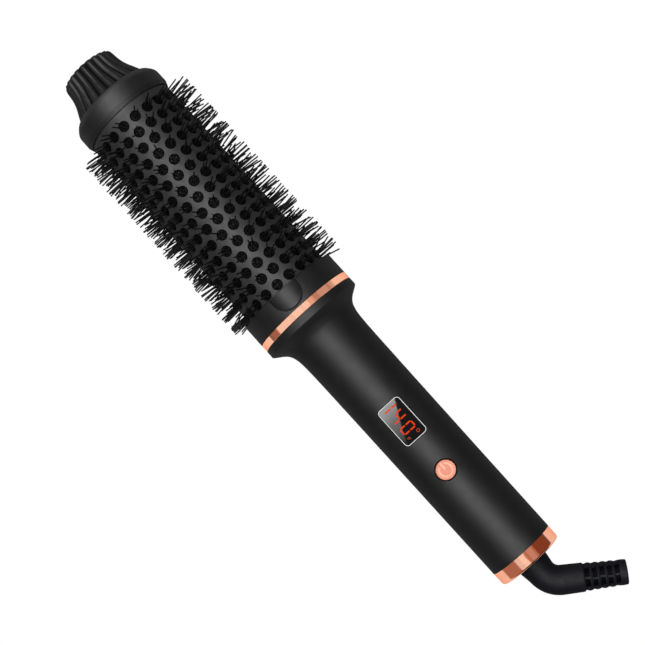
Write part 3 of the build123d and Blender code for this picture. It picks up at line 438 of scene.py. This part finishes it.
# ---------------------------------------------------------------------------
# Bristles: carriers inside the barrel, a root at each hole, and the strands
# ---------------------------------------------------------------------------
def make_bristles():
    rnd = random.Random(71)
    verts, faces, dark = [], [], []

    def add_ring(centre, e, a, radius, sides, phase=0.0):
        start = len(verts)
        for k in range(sides):
            t = 2 * math.pi * k / sides + phase
            verts.append(centre + e * (radius * math.cos(t)) + a * (radius * math.sin(t)))
        return start

    def bridge(s0, s1, sides):
        for k in range(sides):
            k2 = (k + 1) % sides
            faces.append((s0 + k, s0 + k2, s1 + k2, s1 + k))

    def cap(s0, sides, flip=False):
        f = tuple(range(s0, s0 + sides))
        faces.append(f[::-1] if flip else f)

    for i in range(N_RINGS):
        x = RING_FIRST + RING_PITCH * i
        base = 9.0 if i % 2 == 0 else 0.0
        ring_turn = rnd.uniform(0, 2 * math.pi)
        for j in range(N_AROUND):
            deg = base + 18.0 * j
            ang = math.radians(deg)
            n = Vector((0, math.sin(ang), math.cos(ang)))
            e = Vector((0, math.cos(ang), -math.sin(ang)))
            ax = Vector((1, 0, 0))
            foot = Vector(((x - X_REF), 0, AXIS_H))
            # root
            s0 = add_ring(foot + n * 19.95, e, ax, 1.95, 14)
            s1 = add_ring(foot + n * 20.45, e, ax, 1.75, 14)
            bridge(s0, s1, 14)
            cap(s0, 14, True)
            cap(s1, 14)
            dark.append((s0, s1 + 14))
            # strands
            turn = ring_turn + rnd.gauss(0, 0.25)
            lean_x, lean_e = rnd.gauss(0, 0.065), rnd.gauss(0, 0.06)
            far = math.sin(ang) > 0.9
            if far:
                lean_x *= 1.6
            reach = 31.0 if far else 30.15 + 0.30 * math.sin(ang)
            count = STRANDS - 1 if far else STRANDS
            for k in range(count):
                az = turn + 2 * math.pi * k / count + rnd.uniform(-0.25, 0.25)
                out = e * math.cos(az) + ax * math.sin(az)
                stray = rnd.random() < 0.08
                spread = rnd.uniform(0.16, 0.30) if stray else rnd.uniform(-0.01, 0.07)
                root = foot + n * 20.3 + out * rnd.uniform(0.9, 1.3)
                tip_r = reach + rnd.uniform(-0.45, 0.10)
                if far:
                    tip_r = reach + rnd.uniform(-0.55, 0.10)
                    spread += rnd.uniform(-0.06, 0.12)
                if rnd.random() < 0.12:
                    tip_r -= rnd.uniform(0.6, 2.2)
                length = tip_r - 20.3
                dirn = (n + out * spread + ax * (lean_x + rnd.gauss(0, 0.02))
                        + e * lean_e).normalized()
                bend = rnd.uniform(-0.03, 0.04)
                r0, r1 = (0.36, 0.33) if far else (0.34, 0.31)
                tip = root + dirn * length + out * (bend * length) + dirn * 0.2
                for part in (abs(tip.y), abs(tip.z - AXIS_H)):
                    if part > 30.65:
                        length *= (30.65 - 20.0) / (part - 20.0)
                sides, rows = 7, 5
                prev = None
                side1 = dirn.cross(ax).normalized()
                side2 = dirn.cross(side1).normalized()
                for q in range(rows):
                    t = q / (rows - 1)
                    c = root + dirn * (length * t) + out * (bend * length * t * t)
                    rad = r0 + (r1 - r0) * t
                    s = add_ring(c, side1, side2, rad, sides)
                    if prev is not None:
                        bridge(prev, s, sides)
                    else:
                        cap(s, sides, True)
                    prev = s
                tdir = (dirn + out * (2 * bend)).normalized()
                c = root + dirn * length + out * (bend * length) + tdir * 0.14
                s = add_ring(c, side1, side2, r1 * 0.7, sides)
                bridge(prev, s, sides)
                cap(s, sides)
    # carriers
    segs = 12
    dark_from = len(verts)
    for k in range(10):
        a0, a1 = 36.0 * k - 4.2, 36.0 * k + 31.2
        ring = []
        for x in (-122.5, -21.0):
            inner, outer = [], []
            for q in range(segs + 1):
                a = math.radians(a0 + (a1 - a0) * q / segs)
                for rad, lst in ((17.95, inner), (20.05, outer)):
                    lst.append(len(verts))
                    verts.append(Vector((x - X_REF, rad * math.sin(a), AXIS_H + rad * math.cos(a))))
            ring.append((inner, outer))
        (i0, o0), (i1, o1) = ring
        for q in range(segs):
            faces.append((o0[q], o0[q + 1], o1[q + 1], o1[q]))
            faces.append((i0[q + 1], i0[q], i1[q], i1[q + 1]))
            faces.append((i0[q], i0[q + 1], o0[q + 1], o0[q]))
            faces.append((o1[q], o1[q + 1], i1[q + 1], i1[q]))
        faces.append((i0[0], o0[0], o1[0], i1[0]))
        faces.append((o0[segs], i0[segs], i1[segs], o1[segs]))
    ob = new_mesh("bristle_tufts", [v * MM for v in verts], faces, M["bristle"], 50)
    bm_fix_normals(ob)
    ob.data.materials.append(M["carrier"])
    is_dark = [False] * len(verts)
    for lo, hi in dark + [(dark_from, len(verts))]:
        is_dark[lo:hi] = [True] * (hi - lo)
    for poly in ob.data.polygons:
        if is_dark[poly.vertices[0]]:
            poly.material_index = 1
    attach(ob, "root")
    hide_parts("bristle_segments")
    return ob


def bm_fix_normals(ob):
    import bmesh
    bm = bmesh.new()
    bm.from_mesh(ob.data)
    bmesh.ops.recalc_face_normals(bm, faces=bm.faces)
    bm.to_mesh(ob.data)
    bm.free()


make_bristles()


# ---------------------------------------------------------------------------
# Lit digits: they shine through to the window's face, so they follow its curve
# ---------------------------------------------------------------------------
def make_digits():
    verts, faces, dim = [], [], []
    r_low, r_high = 16.19, 16.22

    def place(x, y, r):
        a = math.asin(y / r)
        return Vector(((DISPLAY_X + x - X_REF) * MM, y * MM, (AXIS_H + r * math.cos(a)) * MM))

    def slab(outline, weak=False):
        """A thin tile with this outline, and a fan from its middle."""
        n = len(outline)
        cx, cy = sum(p[0] for p in outline) / n, sum(p[1] for p in outline) / n
        start = len(verts)
        for r in (r_low, r_high):
            verts.extend(place(x, y, r) for x, y in outline)
            verts.append(place(cx, cy, r))
        for k in range(n):
            k2 = (k + 1) % n
            lo, hi = start, start + n + 1
            new = [(hi + k, hi + k2, hi + n), (lo + k2, lo + k, lo + n),
                   (lo + k, lo + k2, hi + k2, hi + k)]
            faces.extend(new)
            dim.extend([weak] * len(new))

    def rounded(cx, cy, w, h, r, weak=False):
        out = []
        for sx, sy, a0 in ((1, 1, 0), (-1, 1, 90), (-1, -1, 180), (1, -1, 270)):
            for q in range(4):
                a = math.radians(a0 + 30 * q)
                out.append((cx + sx * (w / 2 - r) + r * math.cos(a),
                            cy + sy * (h / 2 - r) + r * math.sin(a)))
        slab(out, weak)

    seg, tall, g = 0.66, 3.05, 0.26
    for x, parts, end in ((-7.35, "ab", tall + 0.12), (-4.35, "a", tall + 0.12),
                          (-1.25, "ab", tall + 0.12), (2.05, "ab", tall - g),
                          (5.05, "ab", tall - g)):
        for part in parts:
            mid = (end + g) / 2 if part == "a" else -(end + g) / 2
            rounded(x, mid, seg, end - g, 0.18)
    for x0, x1, y in ((-4.35, -1.25, 0.0), (2.05, 5.05, tall), (2.05, 5.05, -tall)):
        rounded((x0 + x1) / 2, y, x1 - x0 - 0.7, seg, 0.18)
    for k in range(24):
        a, c = math.radians(15 * k), math.radians(15 * (k + 1))
        quad = [(7.3 + q * math.cos(t), 2.6 + q * math.sin(t))
                for q, t in ((0.45, a), (0.82, a), (0.82, c), (0.45, c))]
        slab(quad, True)
    rounded(7.0, -2.75, 0.36, 1.5, 0.1, True)
    rounded(7.65, -2.15, 0.8, 0.34, 0.1, True)
    rounded(7.55, -2.8, 0.6, 0.34, 0.1, True)
    ob = new_mesh("digits_lit", verts, faces, M["red_digits"], 40)
    ob.data.materials.append(M["red_dim"])
    for poly, weak in zip(ob.data.polygons, dim):
        poly.material_index = 1 if weak else 0
    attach(ob, "root")
    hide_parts("display_digits")
    return ob


make_digits()


# ---------------------------------------------------------------------------
# Window: finely divided, so that its curve reflects evenly
# ---------------------------------------------------------------------------
def make_window():
    half_x, half_y, corner = 9.52, 5.62, 1.47
    flat = half_y - corner
    edge = [flat + corner * math.sin(math.pi / 2 * q / 10) for q in range(11)]
    rows = [-v for v in reversed(edge)] + [flat * (q / 16 - 1) for q in range(1, 32)] + edge
    cols = 20
    verts, faces = [], []
    for r in (15.4, 16.15):
        for y in rows:
            over = max(0.0, abs(y) - flat)
            wide = half_x - corner + math.sqrt(max(0.0, corner * corner - over * over))
            for c in range(cols + 1):
                x = wide * (2 * c / cols - 1)
                verts.append(((DISPLAY_X + x - X_REF) * MM, y * MM,
                              (AXIS_H + math.sqrt(r * r - y * y)) * MM))
    n, w = len(rows), cols + 1
    top = n * w
    for i in range(n - 1):
        for c in range(cols):
            a, b = i * w + c, (i + 1) * w + c
            faces.append((a, b, b + 1, a + 1))
            faces.append((top + a, top + a + 1, top + b + 1, top + b))
    loop = ([c for c in range(cols)] + [i * w + cols for i in range(n - 1)]
            + [(n - 1) * w + c for c in range(cols, 0, -1)] + [i * w for i in range(n - 1, 0, -1)])
    for k, a in enumerate(loop):
        b = loop[(k + 1) % len(loop)]
        faces.append((a, b, top + b, top + a))
    ob = new_mesh("window_pane", verts, faces, M["smoked_window"], 30)
    bm_fix_normals(ob)
    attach(ob, "root")
    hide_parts("display_window")
    return ob


WINDOW = make_window()


# ---------------------------------------------------------------------------
# Fluted nose
# ---------------------------------------------------------------------------
def spline(xs, ys, x):
    """Smooth curve through the points, by monotone cubic pieces."""
    n = len(xs)
    d = [(ys[k + 1] - ys[k]) / (xs[k + 1] - xs[k]) for k in range(n - 1)]
    m = [d[0]] + [0.0 if d[k - 1] * d[k] <= 0 else 2 * d[k - 1] * d[k] / (d[k - 1] + d[k])
                  for k in range(1, n - 1)] + [d[-1]]
    k = max(0, min(n - 2, next((q for q in range(n - 1) if x <= xs[q + 1]), n - 2)))
    h = xs[k + 1] - xs[k]
    t = (x - xs[k]) / h
    return ((2 * t**3 - 3 * t**2 + 1) * ys[k] + (t**3 - 2 * t**2 + t) * h * m[k]
            + (-2 * t**3 + 3 * t**2) * ys[k + 1] + (t**3 - t**2) * h * m[k + 1])


def make_nose():
    xs = [-154.4, -152.9, -150.6, -148.3, -146.0, -143.7, -141.5, -139.2, -136.95]
    ys = [13.1, 13.6, 13.85, 14.2, 14.82, 15.72, 16.8, 17.85, 19.05]
    per = 26
    around = N_FLUTES * per
    rows = []
    # inside of the end dish, then over the rim and down the flutes
    rows.append((-153.9, 0.0, 0.0))
    rows.append((-153.9, 4.0, 0.0))
    rows.append((-153.9, 8.8, 0.0))
    rows.append((-154.05, 9.15, 0.0))
    rows.append((-154.6, 9.6, 0.0))
    rows.append((-154.9, 10.2, 0.05))
    rows.append((-154.93, 11.5, 0.35))
    rows.append((-154.90, 12.3, 0.75))
    rows.append((-154.70, 12.85, 0.95))
    for q in range(30):
        x = xs[0] + (xs[-1] - xs[0]) * q / 29
        rows.append((x, spline(xs, ys, x), 1.0))
    verts, faces = [], []
    for x, r, g in rows:
        for k in range(around):
            a = 2 * math.pi * k / around
            c = 1.0 - math.sqrt(0.012 + 0.988 * math.cos(N_FLUTES * a / 2) ** 2)
            groove = 1.25 * g * c
            verts.append(pt(x, max(0.0, r - groove), math.degrees(a)))
    for i in range(len(rows) - 1):
        for k in range(around):
            k2 = (k + 1) % around
            a, b = i * around, (i + 1) * around
            faces.append((a + k, b + k, b + k2, a + k2))
    # close the base, a step in to a spigot
    last = (len(rows) - 1) * around
    for x, r in ((-136.95, 17.6), (-138.6, 15.6), (-138.6, 0.0)):
        start = len(verts)
        for k in range(around):
            verts.append(pt(x, r, 360.0 * k / around))
        for k in range(around):
            k2 = (k + 1) % around
            faces.append((last + k, start + k, start + k2, last + k2))
        last = start
    me = bpy.data.meshes.new("nose_fluted")
    me.from_pydata(verts, [], faces)
    import bmesh
    bm = bmesh.new()
    bm.from_mesh(me)
    bmesh.ops.remove_doubles(bm, verts=bm.verts, dist=1e-6)
    bmesh.ops.dissolve_degenerate(bm, dist=1e-7, edges=bm.edges)
    bmesh.ops.recalc_face_normals(bm, faces=bm.faces)
    bm.to_mesh(me)
    bm.free()
    me.materials.append(M["nose"])
    smooth(me, 40)
    ob = bpy.data.objects.new("nose_fluted", me)
    bpy.context.scene.collection.objects.link(ob)
    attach(ob, "root")
    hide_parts("tip_cap")
    return ob


make_nose()

# ---------------------------------------------------------------------------
# Studio
# ---------------------------------------------------------------------------
def make_floor():
    half = 4.0
    ob = new_mesh("floor", [(-half, -half, -0.0005), (half, -half, -0.0005),
                            (half, half, -0.0005), (-half, half, -0.0005)], [(0, 1, 2, 3)],
                  floor_material())
    return ob


def floor_material():
    mat = bpy.data.materials.new("floor_white")
    mat.use_nodes = True
    nt = mat.node_tree
    nt.nodes.clear()
    out = nt.nodes.new("ShaderNodeOutputMaterial")
    diff = nt.nodes.new("ShaderNodeBsdfDiffuse")
    diff.inputs["Color"].default_value = (0.20, 0.20, 0.20, 1)
    em = nt.nodes.new("ShaderNodeEmission")
    em.inputs["Color"].default_value = (1, 1, 1, 1)
    em.inputs["Strength"].default_value = 1.0
    lp = nt.nodes.new("ShaderNodeLightPath")
    mix = nt.nodes.new("ShaderNodeMixShader")
    nt.links.new(lp.outputs["Is Camera Ray"], mix.inputs["Fac"])
    nt.links.new(diff.outputs[0], mix.inputs[1])
    nt.links.new(em.outputs[0], mix.inputs[2])
    nt.links.new(mix.outputs[0], out.inputs["Surface"])
    return mat


def area(name, where, target, sx, sy, radiance, colour=(1, 1, 1), group=None, roll=0.0):
    """A soft rectangular panel that looks from one place at another. Sizes in metres."""
    li = bpy.data.lights.new(name, "AREA")
    li.shape = "RECTANGLE"
    li.size, li.size_y = sx, sy
    li.color = colour
    li.energy = radiance * sx * sy * math.pi
    ob = bpy.data.objects.new(name, li)
    z = (Vector(where) - Vector(target)).normalized()
    x = (Vector((1, 0, 0)) - z * z.x).normalized()
    y = z.cross(x)
    m = Matrix((x, y, z)).transposed().to_4x4() @ Matrix.Rotation(math.radians(roll), 4, "Z")
    m.translation = Vector(where)
    ob.matrix_world = m
    ob.visible_camera = False
    bpy.context.scene.collection.objects.link(ob)
    if group is not None:
        ob.light_linking.receiver_collection = group
    return ob


def group_of(name, nodes, state):
    coll = bpy.data.collections.new(name)
    for n in nodes:
        coll.objects.link(NODES[n] if isinstance(n, str) else n)
    for c in coll.collection_objects:
        c.light_linking.link_state = state
    return coll


METAL = ["front_ring", "end_ring", "power_button", "display_bezel"]
GLASS = ["display_window", WINDOW]
only_front = group_of("only_front_ring", ["front_ring"], "INCLUDE")
only_end = group_of("only_end_ring", ["end_ring"], "INCLUDE")
only_frame = group_of("only_frame", ["display_bezel"], "INCLUDE")
only_button = group_of("only_button", ["power_button"], "INCLUDE")
only_shell = group_of("only_shell", ["handle_upper_shell", "handle_lower_shell"], "INCLUDE")
only_collar = group_of("only_collar", ["tip_collar"], "INCLUDE")
only_glass = group_of("only_glass", GLASS, "INCLUDE")
not_metal = group_of("not_metal", METAL + GLASS, "EXCLUDE")


def around(name, lo, hi, radiance, colour, group, dist=0.9, length=1.6, x=0.0):
    """A panel that fills the angles lo to hi (degrees from +Z towards +Y) about the axis."""
    mid, half = math.radians((lo + hi) / 2), math.radians((hi - lo) / 2)
    where = (x, dist * math.sin(mid), AXIS_H * MM + dist * math.cos(mid))
    return area(name, where, (x, 0, AXIS_H * MM), length, 2 * dist * math.tan(half), radiance,
                colour, group)


def low(name, y0, y1, radiance, colour, group, x=0.0):
    """A strip that lies on the floor and faces up."""
    return area(name, (x, (y0 + y1) / 2, 0.0012), (x, (y0 + y1) / 2, 1.0), 0.8, y1 - y0,
                radiance, colour, group)


# what a rose ring mirrors: white cards with warm ones between them
WHITE = (1.0, 1.0, 1.0)
ROSE = (1.0, 0.80, 0.72)
TAN = (1.0, 0.66, 0.58)
BROWN = (1.0, 0.52, 0.38)
DARK = (1.0, 0.27, 0.08)


def cards(name, group, rows):
    """Panels side by side round the axis; each begins where the one before it ends."""
    for k, (lo, hi, radiance, colour) in enumerate(rows):
        around("%s_%02d" % (name, k), lo - 0.15, hi + 0.15, radiance, colour, group)


make_floor()
around("key", -24, 18, KEY, WHITE, not_metal, length=2.1, x=-0.35)
cards("front", only_front, (
    (-97, -68, 0.38, BROWN), (-68, -32, 1.05, WHITE), (-32, -18, 1.0, WHITE),
    (-18, 0, 1.12, WHITE), (0, 9, 0.98, WHITE), (9, 19, 1.05, WHITE), (19, 28, 0.86, ROSE),
    (28, 34, 0.72, ROSE), (34, 48, 0.54, TAN), (48, 73, 0.64, ROSE), (73, 80, 0.50, TAN),
    (80, 90, 0.66, ROSE), (90, 92, 0.95, WHITE)))
low("front_low_a", 0.030, 0.75, 0.90, (1.0, 0.91, 0.88), only_front)
low("front_low_b", -0.32, -0.030, 0.92, (1.0, 0.92, 0.90), only_front)
cards("end", only_end, (
    (-91, -37, 0.44, BROWN), (-37, -18, 0.92, WHITE), (-18, 1, 1.10, WHITE),
    (1, 11, 0.50, BROWN), (11, 28, 0.62, TAN), (28, 36, 0.50, BROWN), (36, 92, 0.225, DARK)))
low("end_low_a", 0.018, 0.30, 0.84, (1.0, 0.88, 0.84), only_end, x=0.12)
low("end_low_b", -0.9, -0.018, 0.84, (1.0, 0.88, 0.84), only_end, x=0.12)
around("frame_front", -88, 88, 1.20, WHITE, only_frame)
around("button_front", -12, 11, 0.92, (1.0, 0.97, 0.95), only_button, length=0.34, x=0.05)
around("button_side_a", -80, -12, 1.30, (1.0, 1.0, 0.98), only_button, length=1.4, x=0.10)
around("button_side_b", 11, 80, 1.65, (1.0, 1.0, 0.98), only_button, length=1.4, x=0.10)
area("button_far", (0.575, 0, 0.93), (0.575, 0, 0), 0.70, 0.40, 1.0, (1.0, 0.97, 0.95), only_button)
area("button_near", (-0.445, 0, 0.93), (-0.445, 0, 0), 0.64, 0.40, 1.45, WHITE, only_button)


def window_card():
    """One long card over the display, bright at the head's end and dimmer towards the cord."""
    wide, long, height = 0.20, 1.46, 0.9
    edge, middle, turn = 0.0485, -0.231, math.radians(2.3)
    ob = area("window_card", (0, 0, height), (0, 0, 0), wide, long, 1.0, WHITE, only_glass)
    ob.matrix_world = (Matrix.Translation((edge, middle, height)) @ Matrix.Rotation(turn, 4, "Z")
                       @ Matrix.Translation((-wide / 2, 0.0, 0.0)))
    li = ob.data
    li.use_nodes = True
    nt = li.node_tree
    em = next(n for n in nt.nodes if n.type == "EMISSION")
    geo = nt.nodes.new("ShaderNodeNewGeometry")
    sep = nt.nodes.new("ShaderNodeSeparateXYZ")
    nt.links.new(geo.outputs["Position"], sep.inputs[0])
    ramp = nt.nodes.new("ShaderNodeValToRGB")
    nt.links.new(remap(nt, sep.outputs["X"], 0.015, 0.065, 0.0, 1.0), ramp.inputs["Fac"])
    els = ramp.color_ramp.elements
    els[0].position, els[0].color = 0.0, (1, 1, 1, 1)
    els[1].position, els[1].color = 1.0, (0.05, 0.05, 0.05, 1)
    for place, level_ in ((0.2, 0.94), (0.35, 0.70), (0.5, 0.42), (0.65, 0.34), (0.8, 0.24)):
        e = els.new(place)
        e.color = (level_, level_, level_, 1)
    m = nt.nodes.new("ShaderNodeMath")
    m.operation = "MULTIPLY"
    nt.links.new(ramp.outputs["Color"], m.inputs[0])
    m.inputs[1].default_value = 7.7
    nt.links.new(m.outputs[0], em.inputs["Strength"])
    return ob


window_card()
around("glass_dim", -80, 80, 0.21, WHITE, only_glass, dist=1.1, length=2.4)
area("tip_fill", (-1.20, 0.0, 0.42), (-0.145, 0, 0.05), 0.6, 0.5, 3.7, WHITE, only_collar)
area("flare_fill", (1.10, 0.0, 0.32), (-0.005, 0, 0.05), 0.34, 0.24, 3.0, WHITE, only_shell)


world = bpy.data.worlds.new("studio")
bpy.context.scene.world = world
world.use_nodes = True
bg = world.node_tree.nodes.get("Background")
bg.inputs["Color"].default_value = (0.50, 0.50, 0.52, 1)
bg.inputs["Strength"].default_value = 0.05

scene = bpy.context.scene
scene.view_settings.view_transform = "Standard"
scene.view_settings.look = "None"
scene.view_settings.exposure = 0.0
scene.view_settings.gamma = 1.0
